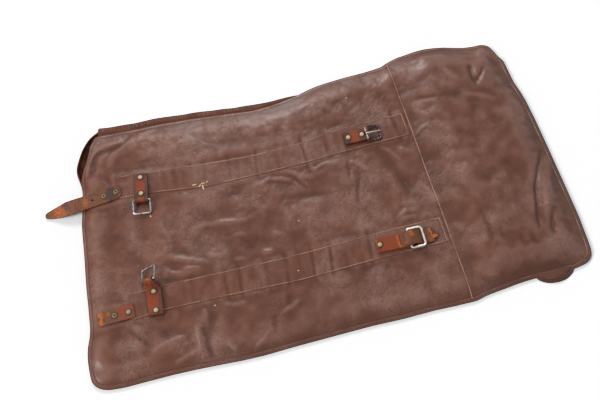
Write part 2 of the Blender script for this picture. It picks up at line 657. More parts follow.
class Shape:
    """Collects points, normals, faces and values of one mesh."""

    def __init__(self):
        self.points, self.normals, self.faces, self.values, self.count = [], [], [], {}, 0

    def add(self, points, normals=None, **values):
        points = np.asarray(points, float).reshape(-1, 3)
        self.points.append(points)
        self.normals.append(np.zeros_like(points) if normals is None else np.asarray(normals).reshape(-1, 3))
        for key, value in values.items():
            filled = np.broadcast_to(np.asarray(value, float).ravel(), (len(points),))
            self.values.setdefault(key, []).append(filled)
        first = self.count
        self.count += len(points)
        return first

    def strip(self, first, second):
        """Faces between two runs of points, given by their indices."""
        first, second = np.asarray(first), np.asarray(second)
        self.faces += np.stack([first[:-1], second[:-1], second[1:], first[1:]], axis=1).tolist()

    def make(self, name, material, shaded=True):
        values = {key: np.concatenate(parts) for key, parts in self.values.items()}
        normals = np.concatenate(self.normals) if shaded else None
        return make_piece(name, np.concatenate(self.points), self.faces, material, normals, values)


# Materials


class Number:
    """A number that varies over a surface. Its operators add Math nodes."""

    def __init__(self, finish, socket):
        self.finish, self.socket = finish, socket

    def __add__(self, other):
        return self.finish.maths("ADD", self, other)

    def __sub__(self, other):
        return self.finish.maths("SUBTRACT", self, other)

    def __mul__(self, other):
        return self.finish.maths("MULTIPLY", self, other)

    def __rsub__(self, other):
        return self.finish.maths("SUBTRACT", other, self)

    def __abs__(self):
        return self.finish.maths("ABSOLUTE", self, 0.0)

    __radd__, __rmul__ = __add__, __mul__

    def clear_of(self, low, high):
        """0 below low, 1 above high, and eased between them."""
        settings = {"interpolation_type": "SMOOTHSTEP"}
        found = self.finish.node(
            "ShaderNodeMapRange", settings, {"Value": self, "From Min": low, "From Max": high}
        )
        return Number(self.finish, found.outputs["Result"])


class Nodes:
    """A node tree that starts empty."""

    def __init__(self, tree):
        self.tree = tree
        tree.nodes.clear()

    def node(self, kind, settings=None, inputs=None):
        """A node of a type, with its settings and then the values or links of its sockets."""
        made = self.tree.nodes.new(kind)
        for key, value in (settings or {}).items():
            setattr(made, key, value)
        for key, value in (inputs or {}).items():
            value = value.socket if isinstance(value, Number) else value
            if isinstance(value, bpy.types.NodeSocket):
                self.tree.links.new(value, made.inputs[key])
            else:
                made.inputs[key].default_value = value
        return made

    def maths(self, operation, first, second):
        made = self.node("ShaderNodeMath", {"operation": operation}, {0: first, 1: second})
        return Number(self, made.outputs[0])


class Finish(Nodes):
    """A procedural material and the few steps that build it."""

    def __init__(self, name, place="rest"):
        self.material = bpy.data.materials.new(name)
        self.material.use_nodes = True
        super().__init__(self.material.node_tree)
        if place == "rest":
            self.place = self.node("ShaderNodeAttribute", {"attribute_name": "rest"}).outputs["Vector"]
        else:
            self.place = self.node("ShaderNodeTexCoord").outputs["Object"]

    def value(self, name):
        """A value that the mesh holds at each of its points."""
        found = self.node("ShaderNodeAttribute", {"attribute_name": name})
        return Number(self, found.outputs["Fac"])

    def noise(self, scale, detail=4.0, roughness=0.55, distortion=0.0):
        inputs = {
            "Vector": self.place,
            "Scale": scale,
            "Detail": detail,
            "Roughness": roughness,
            "Distortion": distortion,
        }
        return Number(self, self.node("ShaderNodeTexNoise", None, inputs).outputs["Fac"])

    def cracks(self, scale):
        """Distance from the nearest crack of a cracked finish."""
        inputs = {"Vector": self.place, "Scale": scale}
        cells = self.node("ShaderNodeTexVoronoi", {"feature": "DISTANCE_TO_EDGE"}, inputs)
        return Number(self, cells.outputs["Distance"])

    def blend(self, amount, first, second):
        """A colour between two others."""
        first, second = (c if isinstance(c, bpy.types.NodeSocket) else (*c, 1.0) for c in (first, second))
        made = self.node("ShaderNodeMix", {"data_type": "RGBA"}, {0: amount, 6: first, 7: second})
        return made.outputs[2]

    def away_from(self, place):
        """Distance from an upright line through a place."""
        kind = "ShaderNodeVectorMath"
        apart = self.node(kind, {"operation": "SUBTRACT"}, {0: self.place, 1: place})
        level = self.node(kind, {"operation": "MULTIPLY"}, {0: apart.outputs[0], 1: (1.0, 1.0, 0.0)})
        found = self.node(kind, {"operation": "LENGTH"}, {0: level.outputs[0]})
        return Number(self, found.outputs["Value"])

    def surface(self, base, roughness, relief, depth, strength=0.6, **constants):
        """Ends the material: a Principled shader with a bump from the relief."""
        relief_inputs = {"Height": relief, "Distance": depth, "Strength": strength}
        normal = self.node("ShaderNodeBump", None, relief_inputs).outputs["Normal"]
        inputs = {"Base Color": base, "Roughness": roughness, "Normal": normal}
        inputs.update({key.replace("_", " "): value for key, value in constants.items()})
        shader = self.node("ShaderNodeBsdfPrincipled", None, inputs)
        self.node("ShaderNodeOutputMaterial", None, {"Surface": shader.outputs[0]})
        return self.material


made_materials = {}


def material_of(name, maker):
    if name not in made_materials:
        made_materials[name] = maker(name)
    return made_materials[name]


def hide(name, patches, crinkles, redness):
    """Dark brown waxed hide. Its rubbed places show paler, and fine crinkles catch the light in zones."""
    paint, finish = leathers(), Finish(name)
    blotch = finish.noise(patches, 4, 0.6, 0.3)
    stain = finish.noise(60, 5, 0.65)
    speck = finish.noise(420, 3, 0.6)
    zone = finish.noise(15, 3, 0.55).clear_of(0.42, 0.62)
    folded = 1 - abs(finish.noise(crinkles, 4, 0.6, 0.7) * 2 - 1)
    web = 1 - abs(finish.noise(crinkles * 3.2, 3, 0.6, 0.5) * 2 - 1)
    ridge, valley = finish.value("ridge"), finish.value("valley")
    base = finish.blend(
        (blotch * 0.75 + stain * 0.25).clear_of(0.3, 0.66), paint.outer_dark, paint.outer_mid
    )
    base = finish.blend(stain.clear_of(0.5, 0.75) * redness, base, srgb(126, 68, 46))
    high = folded.clear_of(0.7, 1.0) * (zone * 0.14 + 0.03) + web.clear_of(0.72, 1.0) * (zone * 0.28 + 0.05)
    rubbed = high + speck.clear_of(0.45, 0.75) * (zone * 0.1 + 0.03) + ridge * 0.36
    base = finish.blend(rubbed, base, paint.outer_light)
    base = finish.blend(valley * 0.55, base, paint.valley)
    roughness = 0.3 + stain * 0.1 - ridge * 0.03
    relief = folded * (zone * 0.45 + 0.12) + web * (zone * 0.5 + 0.1) + speck * 0.16 + stain * 0.12
    return finish.surface(base, roughness, relief, 0.0011, 0.8, Specular_IOR_Level=0.32)


def outer_leather(name):
    """The hide of the sheet."""
    return hide(name, 12, 85, 0.25)


def band_leather(name):
    """The bands: the same hide, a little redder, with finer creases."""
    return hide(name, 22, 120, 0.4)


def lining_leather(name):
    """The inner side: a paler, napped leather with stains."""
    paint, finish = leathers(), Finish(name)
    blotch = finish.noise(16, 5, 0.6, 0.3)
    stain = finish.noise(70, 6, 0.7)
    nap = finish.noise(700, 4, 0.7)
    base = finish.blend(
        (blotch * 0.6 + stain * 0.4).clear_of(0.4, 0.66), paint.lining_dark, paint.lining_mid
    )
    base = finish.blend(nap.clear_of(0.5, 0.75) * 0.35, base, srgb(176, 142, 120))
    return finish.surface(
        base, 0.72 + nap * 0.15, nap * 0.6 + stain * 0.8, 0.0006, 0.5,
        Specular_IOR_Level=0.3, Sheen_Weight=0.12,
    )


def facing_leather(name):
    """The turned-in strips: the same hide, with a paler worn rim."""
    finish = Finish(name)
    blotch = finish.noise(30, 5, 0.6, 0.3)
    nap = finish.noise(600, 4, 0.7)
    base = finish.blend(blotch.clear_of(0.35, 0.65), srgb(88, 50, 37), srgb(114, 70, 54))
    base = finish.blend(finish.value("worn").clear_of(0.0, 1.0) * 0.6, base, srgb(170, 124, 92))
    return finish.surface(base, 0.5 + nap * 0.15, nap, 0.0004, 0.5, Specular_IOR_Level=0.2)


def dark_layers(name):
    """Leather in the shade between layers, soiled nearly black, with a paler worn rim."""
    finish = Finish(name)
    blotch = finish.noise(60, 5, 0.65)
    nap = finish.noise(500, 4, 0.7)
    base = finish.blend(blotch.clear_of(0.4, 0.65), srgb(36, 19, 13), srgb(78, 43, 28))
    base = finish.blend((finish.value("worn") + blotch - 0.5).clear_of(0.35, 0.8), base, srgb(122, 72, 50))
    return finish.surface(base, 0.7 + nap * 0.15, nap + blotch, 0.0006, 0.7, Specular_IOR_Level=0.08)


def worn_finish(finish, base, stain):
    """Adds what the fittings' leathers have lost and gathered: red places, soil, and raw edges."""
    paint = leathers()
    ragged = (finish.noise(260, 5, 0.75, 1.2) - 0.5) * 2.2 + (stain - 0.5) * 0.6
    base = finish.blend((finish.value("red") + ragged * 0.5).clear_of(0.1, 0.95), base, paint.tab_red)
    soiled = (finish.value("soiled") + ragged * 0.7).clear_of(0.4, 0.85)
    base = finish.blend(soiled * 0.9, base, paint.tab_dark)
    base = finish.blend((finish.value("worn") + ragged * 0.8).clear_of(0.5, 0.85), base, paint.strap_raw)
    return finish.blend(finish.value("bare").clear_of(0.3, 0.7), base, srgb(196, 176, 156))


def tab_leather(name):
    """The tabs: thick red-brown leather under a worn dark finish."""
    paint, finish = leathers(), Finish(name)
    patch = finish.noise(95, 5, 0.65, 0.4)
    stain = finish.noise(420, 4, 0.65)
    cracks = finish.cracks(900)
    base = finish.blend((patch * 0.7 + stain * 0.3).clear_of(0.4, 0.6), paint.tab_dark, paint.tab_mid)
    base = worn_finish(finish, base, stain)
    base = finish.blend(stain.clear_of(0.62, 0.78) * 0.3, base, srgb(168, 118, 92))
    relief = cracks.clear_of(0.0, 0.25) * 0.6 + stain * 0.5 + patch * 0.4
    return finish.surface(base, 0.34 + stain * 0.2, relief, 0.0004, 0.6, Specular_IOR_Level=0.32)


def strap_leather(name):
    """The straps: cracked, with raw orange leather where the finish has gone."""
    paint, finish = leathers(), Finish(name)
    patch = finish.noise(80, 6, 0.68, 0.6)
    stain = finish.noise(380, 4, 0.65)
    cracks = finish.cracks(230)
    cracked = 1 - cracks.clear_of(0.0, 0.07)
    base = finish.blend((patch * 0.7 + stain * 0.3).clear_of(0.28, 0.52), paint.tab_dark, paint.strap_mid)
    base = finish.blend(cracked * patch * 0.6, base, srgb(40, 27, 23))
    base = worn_finish(finish, base, stain)
    relief = cracks.clear_of(0.0, 0.12) * 0.7 + stain * 0.5
    return finish.surface(base, 0.48 + stain * 0.2, relief, 0.0005, 0.6, Specular_IOR_Level=0.4)


def thread_finish(name):
    """Pale thread, aged in patches. Soiled threads are darker, and those below zero are bleached."""
    paint, finish = leathers(), Finish(name)
    twist = finish.noise(1500, 2, 0.5)
    age = finish.noise(45, 4, 0.6)
    base = finish.blend(age.clear_of(0.36, 0.6), srgb(158, 112, 88), paint.thread)
    soiled = finish.value("soiled")
    base = finish.blend(soiled.clear_of(0.0, 1.0), base, srgb(120, 74, 58))
    base = finish.blend((0 - soiled).clear_of(0.0, 1.0), base, srgb(244, 222, 184))
    return finish.surface(base, 0.75 + age * 0.1, twist, 0.0002, 0.4, Specular_IOR_Level=0.27)


def steel(name, wear=0.4, clean=(0.44, 0.66), bright=False):
    """Plain steel wire, dulled and spotted with rust."""
    paint, finish = metals(), Finish(name, "object")
    dull = finish.noise(260, 5, 0.65, 0.3)
    spots = finish.noise(900, 4, 0.6)
    base = finish.blend(dull.clear_of(*clean), paint.bright if bright else paint.steel, paint.steel_dull)
    rust = (dull * 0.5 + spots * 0.5).clear_of(0.54, 0.66)
    base = finish.blend(rust * wear, base, srgb(92, 58, 40))
    shade = 0.26 + dull * 0.16 + rust * 0.3
    return finish.surface(base, shade, spots, 0.00015, 0.5, Metallic=0.9)


def blackened_steel(name):
    """Steel that is blackened except where it has been rubbed bright."""
    return steel(name, 0.6, (0.3, 0.5))


def bright_steel(name):
    """Steel that handling has kept bright."""
    return steel(name, 0.3, (0.56, 0.8), True)


def rivet_finish(name):
    """A rivet, darker towards its rim."""
    low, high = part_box(name)
    paint, finish = metals(), Finish(name + "_finish", "object")
    middle = ((low.x + high.x) / 2, (low.y + high.y) / 2, 0.0)
    reach = (high.x - low.x) / 2
    out = finish.away_from(middle) * (1 / reach)
    dull = finish.noise(700, 4, 0.65)
    pale, dark = paint.rivet, paint.rivet_dull
    rim = (out + dull * 0.5).clear_of(0.75, 1.15)
    if name in ("billet_rivet_1", "billet_rivet_2", "stub_rivet_2"):
        pale, dark = paint.eyelet, paint.eyelet_dark
        rim = 1 - (out + dull * 0.3).clear_of(0.35, 0.65)
    if name == "stub_rivet_1":
        pale = paint.steel
    base = finish.blend(rim, pale, dark)
    base = finish.blend(dull.clear_of(0.55, 0.75) * 0.5, base, dark)
    return finish.surface(base, 0.36 + dull * 0.2, dull, 0.0002, 0.5, Metallic=0.35)


# The outer leather and its bands

# Where the mesh is closest: steps in from the edge, and steps to both sides of the seam
EDGE_STEPS = (0, 0.0007, 0.0014, 0.0022, 0.0032, 0.0044, 0.0056, 0.007, 0.0086, 0.0105, 0.0128)
SEAM_STEPS = (0.0006, 0.0014, 0.0022, 0.003, 0.0045, 0.006)
SHEET_WIDTH = 0.385


def soften(grid, reach):
    """The grid averaged over a square of neighbours."""
    for axis in (0, 1):
        sides = [(reach + 1, reach) if index == axis else (0, 0) for index in (0, 1)]
        total = np.cumsum(np.pad(grid, sides, mode="edge"), axis=axis)
        count = grid.shape[axis]
        upper = np.take(total, np.arange(count) + 2 * reach + 1, axis=axis)
        lower = np.take(total, np.arange(count), axis=axis)
        grid = (upper - lower) / (2 * reach + 1)
    return grid


def relief_values(heights, reach=4, depth=0.0007):
    """How far each point stands above or below its neighbours, as two shares."""
    apart = (heights - soften(soften(heights, reach), reach)) / depth
    return np.clip(apart, 0, 1), np.clip(-apart, 0, 1)


def sheet_stations():
    knots = {LEFT_STATION + step for step in EDGE_STEPS} | {RIGHT_STATION - step for step in EDGE_STEPS}
    knots |= set(CUTS) | set(FOLDS) | {SEAM + side * step for step in SEAM_STEPS for side in (-1, 1)}
    shares = {step / SHEET_WIDTH for step in EDGE_STEPS} | {1 - step / SHEET_WIDTH for step in EDGE_STEPS}
    step = sizes().mesh_step
    return fill_out(sorted(knots), step), fill_out(sorted(shares), step / SHEET_WIDTH)


def border_outward(points):
    """For each point on the border of a grid, the level direction out of it."""
    columns, rows = points.shape[:2]
    loop = [(c, 0) for c in range(columns)] + [(columns - 1, r) for r in range(1, rows)]
    loop += [(c, rows - 1) for c in range(columns - 2, -1, -1)] + [(0, r) for r in range(rows - 2, 0, -1)]
    chain = np.array([points[c, r] for c, r in loop])
    run = np.roll(chain, -1, axis=0) - np.roll(chain, 1, axis=0)
    out = np.stack([run[:, 1], -run[:, 0], np.zeros(len(run))], axis=1)
    out /= np.linalg.norm(out, axis=1, keepdims=True)
    outward = np.zeros_like(points)
    for (c, r), direction in zip(loop, out):
        outward[c, r] = direction
    return outward


def border_runs(columns, rows, first, last):
    """The border of columns first to last of a grid, anticlockwise, without the sides that are cut."""
    foot = [(c, 0) for c in range(first, last + 1)]
    head = [(c, rows - 1) for c in range(last, first - 1, -1)]
    left = [(0, r) for r in range(rows - 2, 0, -1)]
    right = [(columns - 1, r) for r in range(1, rows - 1)]
    if first == 0 and last == columns - 1:
        return [foot + right + head + left + foot[:1]]
    if first == 0:
        return [head + left + foot]
    if last == columns - 1:
        return [foot + right + head]
    return [foot, head]


def along_run(grid, run):
    """The values of a grid at each place of a run."""
    return np.array([grid[c, r] for c, r in run])


def replaced_nodes(kind):
    """For each fold, the cut nodes that a span of one kind stands for."""
    return [(f"main_{kind}_{count}",) for count in (1, 2, 3, 4)] + [(f"end_{kind}_near", f"end_{kind}_tip")]


CURL_SHADE = (-0.288, 0.145)
FITTING_SOIL = 1.6


def outer_wear(x, y, z):
    """Where the outer leather is rubbed and where it is soiled, as two shares."""
    ridge, valley = relief_values(z)
    edge = edge_distance(x, y)
    ridge = np.clip(ridge + 0.6 * bump(edge - 0.0022, 0.0014), 0, 1)
    valley = np.clip(valley + 0.5 * bump(edge - sizes().hem_fold, 0.0008), 0, 1)
    curl = bump(np.hypot(x - CURL_SHADE[0], y - CURL_SHADE[1]), 0.036)
    valley = np.clip(valley + 1.3 * curl * bump(edge, 0.002), 0, 1)
    return ridge, valley + FITTING_SOIL * fitting_soil(x, y)


def build_outer_leather():
    stations, shares = sheet_stations()
    x, y = sheet_place(stations[:, None], shares[None, :])
    z = sheet_height(x, y)
    points = np.stack([x, y, z], axis=-1)
    normals = grid_normals(points)
    outward = border_outward(points)
    rims = np.linalg.norm(outward, axis=-1) > 0
    normals[rims] += outward[rims] * 0.8
    normals /= np.linalg.norm(normals, axis=-1, keepdims=True)
    ridge, valley = outer_wear(x, y, z)
    material = material_of("outer_leather", outer_leather)
    replaced = replaced_nodes("panel")
    columns, rows = x.shape
    for fold, first, last in spans(stations):
        shape = Shape()
        part = slice(first, last + 1)
        shape.add(points[part], normals[part], ridge=ridge[part], valley=valley[part])
        shape.faces += grid_faces(last - first + 1, rows).tolist()
        for run in border_runs(columns, rows, first, last):
            above = np.array([(c - first) * rows + r for c, r in run])
            for loop, tilt in rim_of(along_run(points, run), along_run(outward, run)):
                start = shape.add(loop, tilt, ridge=0.4, valley=0.1)
                below = np.arange(start, start + len(run))
                shape.strip(above, below)
                above = below
        piece = shape.make(f"outer_leather_{fold + 1}", material)
        long = x[part].max() - x[part].min()
        bend(piece, fold)
        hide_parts(*replaced[fold])
        round(long + 0.016, 3)
        round(long * 0.402, 4)


def band_profile(width):
    """Across a band: distances from its lower edge, and heights as shares of its thickness."""
    margin = sizes().band_margin
    near = [(-0.0003, -0.35), (0.0, 0.45), (0.0004, 0.8), (0.0009, 0.92), (margin, 0.85)]
    near += [(margin + 0.0007, 0.95), (margin + 0.0022, 1.1)]
    inner = np.linspace(margin + 0.0022, width - margin - 0.0022, 13)[1:-1]
    far = [(width - place, high) for place, high in reversed(near)]
    return near + [(place, 1.16) for place in inner] + far


# A band's cut end: how far each step stands beyond it, and its height as a share of the thickness
BAND_TIP = ((0.0003, -0.35), (0.0, 0.45), (-0.0004, 0.8), (-0.0012, 1.0))
BAND_STEP = 0.0017


def build_bands():
    size = sizes()
    material = material_of("band_leather", band_leather)
    for name, (low, high) in band_rows.items():
        start = BAND_START[name]
        knots = [start] + [line for line in sorted(CUTS + FOLDS) if start < line < BAND_END] + [BAND_END]
        stations = fill_out(knots, BAND_STEP)
        near_tip = [start - out for out, _ in BAND_TIP[:3]]
        far_tip = [BAND_END + out for out, _ in reversed(BAND_TIP)]
        reaches = np.concatenate([near_tip, stations[1:-1], far_tip])
        ended = np.ones(len(reaches))
        ended[:3] = [share for _, share in BAND_TIP[:3]]
        ended[-4:] = [share for _, share in reversed(BAND_TIP)]
        lows, highs = low(reaches) - size.band_margin, high(reaches) + size.band_margin
        profile = np.array(band_profile(BAND_WIDTH))
        across = profile[:, 0] / BAND_WIDTH
        x = np.repeat(reaches[:, None], len(across), axis=1)
        y = lows[:, None] + (highs - lows)[:, None] * across[None, :]
        thick = np.minimum(profile[None, :, 1], ended[:, None])
        level = sheet_height(x, y)
        points = np.stack([x, y, level + BAND * thick], axis=-1)
        normals = grid_normals(points)
        ridge, valley = relief_values(level, 3, 0.0006)
        valley = valley + FITTING_SOIL * fitting_soil(x, y)
        for fold, first, last in spans(reaches):
            if fold > 3:
                continue
            part = slice(first, last + 1)
            shape = Shape()
            shape.add(points[part], normals[part], ridge=ridge[part], valley=valley[part])
            shape.faces += grid_faces(last - first + 1, len(across)).tolist()
            piece = shape.make(f"{name}_band_leather_{fold + 1}", material)
            if fold < 3:
                bend(piece, fold)
            else:
                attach(piece, "main_4")
            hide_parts(f"{name}_band_{fold + 1}")


# Sewing


def stitch_places(path, pitch):
    """Ends of the stitches along a path of level points, as pairs of points."""
    path = np.asarray(path, float)
    steps = np.hypot(*np.diff(path, axis=0).T)
    along = np.concatenate([[0], np.cumsum(steps)])
    count = max(1, int(along[-1] / pitch))
    starts = (np.arange(count) + 0.15) * along[-1] / count
    ends = np.minimum(starts + pitch * sizes().stitch / sizes().stitch_pitch, along[-1])
    places = np.stack([starts, ends], axis=1)
    return np.stack([np.interp(places, along, path[:, axis]) for axis in (0, 1)], axis=-1)


PATH_STEP = 0.002  # between the points of a sewing path


def path_of(x, y):
    """A path of level points. Either coordinate may be one number for all of them."""
    return np.stack(np.broadcast_arrays(x, y), axis=1)


# Along a stitch: shares of its length and of its thickness, and height above the leather in threads
THREAD_STEPS = ((0.0, 0.4, -0.2), (0.2, 1.0, 0.2), (0.8, 1.0, 0.2), (1.0, 0.4, -0.2))


def add_stitches(shape, pairs, height, thread, side=1, soiled=0.0):
    """A short rounded length of thread for each pair of ends, pulled into the leather at both."""
    begins, ends = pairs[:, 0], pairs[:, 1]
    run = ends - begins
    run /= np.maximum(np.linalg.norm(run, axis=1, keepdims=True), 1e-9)
    flat = np.zeros(len(run))
    wide, high = np.stack([-run[:, 1], run[:, 0], flat], axis=1), np.array([0.0, 0.0, 1.0])
    points, normals = [], []
    for amount, thick, sunk in THREAD_STEPS:
        place = mix(begins, ends, amount)
        level = height(place[:, 0], place[:, 1]) + side * thread * sunk
        middle = np.concatenate([place, level[:, None]], axis=1)
        ring = [wide, flat[:, None] + high, -wide, flat[:, None] - high]
        points.append(np.stack([middle + way * (thread / 2 * thick) for way in ring], axis=1))
        normals.append(np.stack(ring, axis=1))
    soil = np.repeat(np.broadcast_to(soiled, len(pairs)), 4 * len(THREAD_STEPS))
    first = shape.add(np.stack(points, axis=1), np.stack(normals, axis=1), soiled=soil)
    loop = np.array([0, 1, 2, 3, 0])
    for stitch in range(len(pairs)):
        for index in range(len(THREAD_STEPS) - 1):
            row = first + (stitch * len(THREAD_STEPS) + index) * 4 + loop
            shape.strip(row + 4, row)


def hem_soil(pairs):
    """The share of soil in the hem's threads: most along the strap end and the lower long edge."""
    x, y = pairs.mean(axis=1).T
    return np.maximum(1 - ease((x + 0.29) / 0.02), 1 - ease((y + 0.2) / 0.02))


def sew_pairs(name, pairs, places, height, thread, soil):
    """Threads between pairs of ends, in one object for each fold that they cross."""
    material = material_of("thread_finish", thread_finish)
    limits = [-1.0] + CUTS + [1.0]
    for fold in range(len(FOLDS)):
        own = pairs[(places >= limits[fold]) & (places < limits[fold + 1])]
        if len(own):
            shape = Shape()
            add_stitches(shape, own, height, thread, 1, soil(own))
            bend(shape.make(f"{name}_{fold + 1}", material), fold)


def sew(name, paths, height, soiled=0.0):
    """Stitches along paths. Soiled is how dark their threads are where the hem is soiled."""
    size = sizes()
    pairs = np.concatenate([stitch_places(path, size.stitch_pitch) for path in paths])
    middles = pairs[:, :, 0].mean(axis=1)
    sew_pairs(name, pairs, middles, height, size.thread, lambda own: soiled * hem_soil(own))


def inset_path(distance):
    """A closed path round the sheet, as far in from its edge as the distance at each x."""
    stations, shares = sheet_stations()
    x, y = sheet_place(stations[:, None], shares[None, :])
    points = np.stack([x, y, np.zeros_like(x)], axis=-1)
    outward = border_outward(points)
    columns, rows = x.shape
    (loop,) = border_runs(columns, rows, 0, columns - 1)
    edge, out = along_run(points, loop)[:, :2], along_run(outward, loop)[:, :2]
    return edge - out * distance(edge[:, 0])[:, None]


SEAM_FOOT, SEAM_HEAD = -0.207, 0.19


def build_stitching():
    hem = inset_path(hem_width)
    seam = path_of(SEAM + 0.0003, np.arange(SEAM_FOOT, SEAM_HEAD, PATH_STEP))
    sew("hem_stitching", [hem], sheet_height, soiled=0.6)
    sew("seam_stitching", [seam], sheet_height)
    rows = []
    for name, (low, high) in band_rows.items():
        x = np.arange(BAND_START[name] + 0.003, BAND_END - 0.002, PATH_STEP)
        place = BAND_END - 0.0035
        y = np.arange(float(low(place)), float(high(place)), PATH_STEP)
        rows += [path_of(x, low(x)), path_of(x, high(x)), path_of(place, y)]
    sew("band_stitching", rows, lambda x, y: sheet_height(x, y) + BAND * 0.85)


# The inner side


def add_sides(shape, upper, under, normals, above, below):
    """The two sides of a thin layer, as grids of points, with the values of each side. Gives the
    index of the first point of the under side."""
    faces = grid_faces(*upper.shape[:2])
    shape.add(upper, normals, **above)
    shape.faces += faces.tolist()
    start = shape.add(under, -normals, **below)
    shape.faces += (faces[:, ::-1] + start).tolist()
    return start


def close_border(shape, upper, under, outward, run, thickness, bulge):
    """A rounded wall between the two sides, along a run of their border."""
    out, high, low, thick = (along_run(grid, run) for grid in (outward, upper, under, thickness))
    middle = (high + low) / 2 + out * thick[:, None] * bulge
    firsts = [shape.add(chain, out, worn=1.0) for chain in (high, middle, low)]
    count = np.arange(len(run))
    for one, two in zip(firsts, firsts[1:]):
        shape.strip(one + count, two + count)


PLAIN = {"worn": 0.0}
SPAN_BULGE, PIECE_BULGE = 0.3, 0.0005  # a share of the thickness, and a length


def closed_sheet(name, points, thickness, material, stations):
    """Spans of a thin sheet, closed at its borders, from the grid of its upper side."""
    normals = grid_normals(points)
    thickness = np.broadcast_to(thickness, points.shape[:2])
    under = points - np.array([0, 0, 1]) * thickness[..., None]
    outward = border_outward(points)
    made = []
    for fold, first, last in spans(stations):
        part = slice(first, last + 1)
        shape = Shape()
        add_sides(shape, points[part], under[part], normals[part], PLAIN, PLAIN)
        for run in border_runs(*points.shape[:2], first, last):
            close_border(shape, points, under, outward, run, thickness, SPAN_BULGE)
        made.append((fold, shape.make(f"{name}_{fold + 1}", material)))
    return made


def closed_piece(name, points, under, material):
    """One thin piece, closed at its border, from the grids of its two sides."""
    shape = Shape()
    add_sides(shape, points, under, grid_normals(points), PLAIN, PLAIN)
    columns, rows = points.shape[:2]
    (run,) = border_runs(columns, rows, 0, columns - 1)
    close_border(shape, points, under, border_outward(points), run, np.ones((columns, rows)), PIECE_BULGE)
    return shape.make(name, material)


# How far the lining and the end pouch lie below the top of the hide
LINING_DROP, POUCH_DROP = 0.0034, 0.0062


def lining_height(x, y):
    level = sheet_level(x, y) - LINING_DROP
    return np.maximum(level + swell(x, y, 0.04, 3.3) * 0.0004, 0.0011)


# Loose ends of thread and pale flecks that stick to the hide, in mm: x and y of both ends
LOOSE_ENDS = (
    (-147, 57.4, -140, 57.8), (-134, 56.6, -128, 57.0), (-132, 55, -131.4, 47), (-126, 57, -123, 59),
    (-154, -128.4, -152, -127), (-32, -109.4, -30, -108.4), (-12, -36.4, -10, -35.6), (-214, 27, -213, 24),
    (110, 143, 112, 144), (41, 168, 43, 171), (-137, 52, -134, 56),
)


def build_loose_ends():
    """The loose ends: thicker than the sewing, and paler."""
    ends = np.array(LOOSE_ENDS) * MM
    pairs = np.stack([ends[:, :2], ends[:, 2:]], axis=1)

    def level(x, y):
        return sheet_height(x, y) + BAND * band_cover(x, y, 0.001)

    thread = sizes().thread * 1.5
    sew_pairs("loose_ends", pairs, pairs[:, 0, 0], level, thread, lambda own: -1.0)


LINING_START, LINING_END, LINING_THICKNESS = -0.313, 0.373, 0.001
LINING_STEP, LINING_SHARES = 0.006, (0.008, 0.05, 0.12, 0.88, 0.95, 0.992)


def build_linings():
    material = material_of("lining_leather", lining_leather)
    knots = [LINING_START] + sorted(CUTS + FOLDS) + [LINING_END]
    stations = fill_out(knots, LINING_STEP)
    shares = fill_out(LINING_SHARES, 0.014)
    x, y = sheet_place(stations[:, None], shares[None, :])
    points = np.stack([x, y, lining_height(x, y)], axis=-1)
    replaced = replaced_nodes("lining")
    for fold, piece in closed_sheet("lining", points, LINING_THICKNESS, material, stations):
        bend(piece, fold)
        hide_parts(*replaced[fold])


FACING_START, FACING_END = -0.2635, 0.186
FACING_DEPTH, FACING_SLANT, FACING_STEP = 0.05, 0.22, 0.003


def build_facings():
    """The strip turned in under the upper long edge, whose folded rim shows beyond the hide."""
    material = material_of("facing_leather", facing_leather)
    folds = [line for line in sorted(CUTS + FOLDS) if FACING_START < line < FACING_END]
    stations = fill_out([FACING_START] + folds + [FACING_END], FACING_STEP)
    shares = fill_out([0.0, 0.6, 0.86, 1.0], 0.045)
    x = np.repeat(stations[:, None], len(shares), axis=1)
    head = facing_edge(x)
    y = head - FACING_DEPTH * (1 - shares[None, :])
    x = x - (head - y) * FACING_SLANT * (1 - ease((x - FACING_START) / 0.03))
    beyond = ease((y - upper_edge(x) + 0.001) / 0.0025)
    rim = 1 - ease((head - y) / 0.0018)
    top = mix(0.0012, 0.0030, beyond) - 0.0008 * rim + 0.0002 * swell(x, y, 0.02, 4.4)
    points = np.stack([x, y, top], axis=-1)
    for fold, piece in closed_sheet("facing", points, top - 0.0003, material, stations):
        if fold < 3:
            bend(piece, fold)
        else:
            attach(piece, "main_4")
        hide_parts(f"top_facing_{fold + 1}")
    build_whip_stitching()


WHIP_END, WHIP_PITCH, WHIP_LEVEL = -0.05, 0.0034, 0.0030
WHIP_SHORT, WHIP_LONG = 0.0012, 0.0065


def build_whip_stitching():
    """Threads that pass over the folded rim of the facing, close together near the curled corner."""
    size = sizes()
    thread = material_of("thread_finish", thread_finish)
    shape = Shape()
    x = np.arange(FACING_START + 0.004, WHIP_END, WHIP_PITCH)
    head, foot = facing_edge(x), upper_edge(x)
    reach = np.clip(head - foot - 0.0006, WHIP_SHORT, WHIP_LONG)
    lean = 0.0009 * np.sign(swell(x, np.zeros_like(x), 0.004, 2.2))
    pairs = np.stack([path_of(x, head - 0.0004), path_of(x + lean, head - reach)], axis=1)
    add_stitches(shape, pairs, lambda xs, ys: np.full(np.shape(xs), WHIP_LEVEL), size.thread * 0.8, 1, 0.6)
    piece = shape.make("whip_stitching", thread)
    bend(piece, 0)


POCKET_FOOT, POCKET_SWELL, POCKET_DIP, POCKET_HEM = -0.168, 0.0038, 0.004, 0.004
POCKET_THICKNESS, POCKET_STEP = 0.0012, 0.003
HEM_PINCH = 0.0004  # how far the hem's sewing presses in each side of a pocket


def pocket_dip(x, left, right):
    """How far the mouths of a stretch's two pockets hang below their seams."""
    pitch = (right - left) / 2
    return POCKET_DIP * np.abs(np.sin((x - left) / pitch * math.pi))


